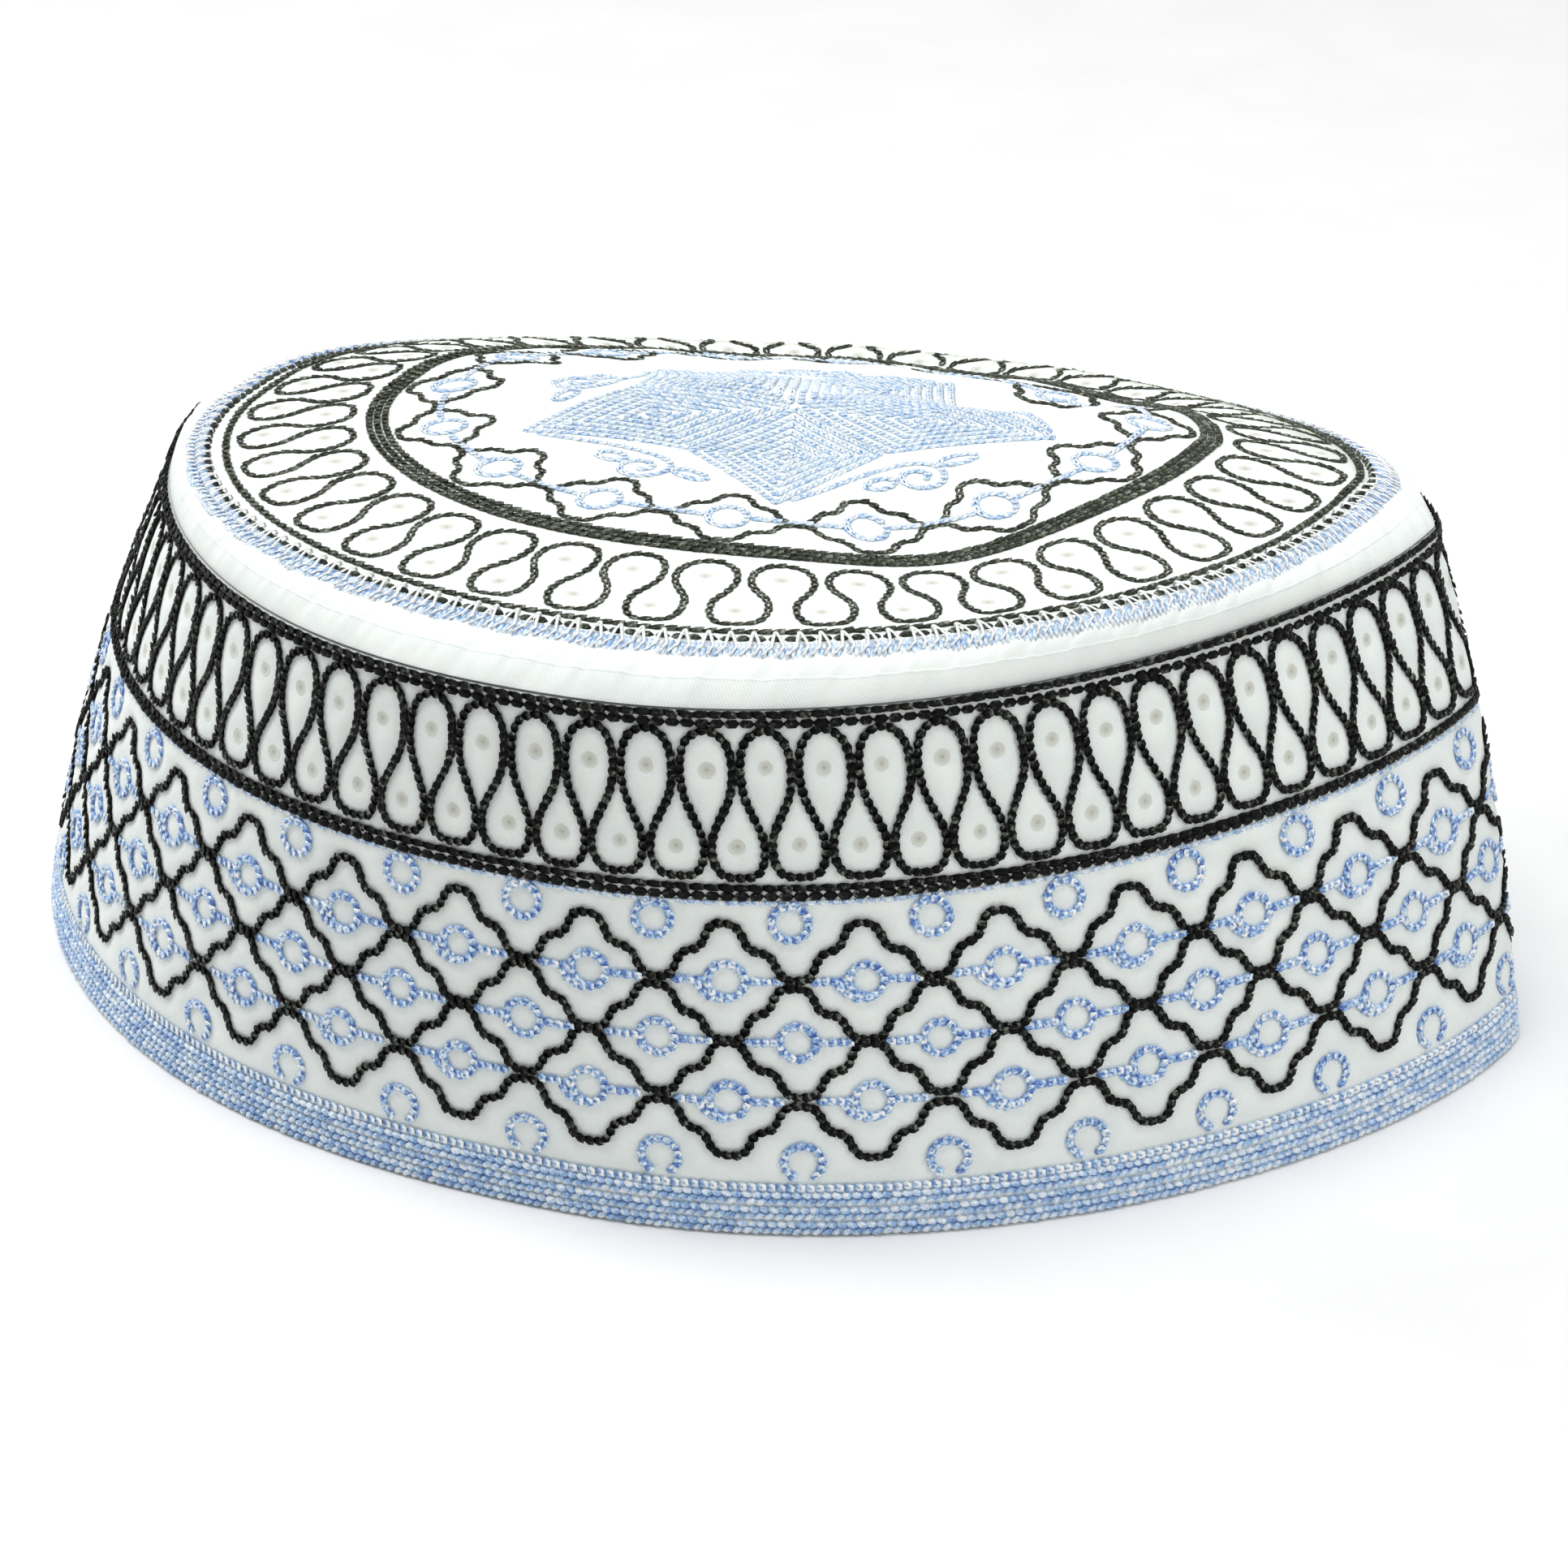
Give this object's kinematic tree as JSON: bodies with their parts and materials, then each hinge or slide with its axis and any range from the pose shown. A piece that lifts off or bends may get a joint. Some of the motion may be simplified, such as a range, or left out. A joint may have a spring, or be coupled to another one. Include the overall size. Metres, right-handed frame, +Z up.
{
  "type": "embroidered kufi cap",
  "caption": "Flat-topped oval embroidered cap with a padded crown, a rolled shoulder and a flared side band, open underneath.",
  "frame": {"origin": "on the surface that the rim rests on, under the middle of the rim", "axes": "+Z up, +X along the long way of the oval towards the fold, -Y towards the front"},
  "size_m": [0.2077, 0.1587, 0.0738],
  "materials": {
    "white_cotton": "quilted fine cotton",
    "black_thread": "slightly shiny chain stitch",
    "blue_thread": "glossy rayon chain stitch"
  },
  "bodies": {
    "root": {"side_band": "white_cotton", "shoulder_band": "white_cotton", "crown": "white_cotton", "crown_star": "blue_thread", "crown_ring_cord": "black_thread", "crown_double_cord": "black_thread", "crown_edge_braid": "blue_thread", "upper_cord": "black_thread", "lower_cord": "black_thread", "rim_braid": "blue_thread"}
  },
  "joints": []
}
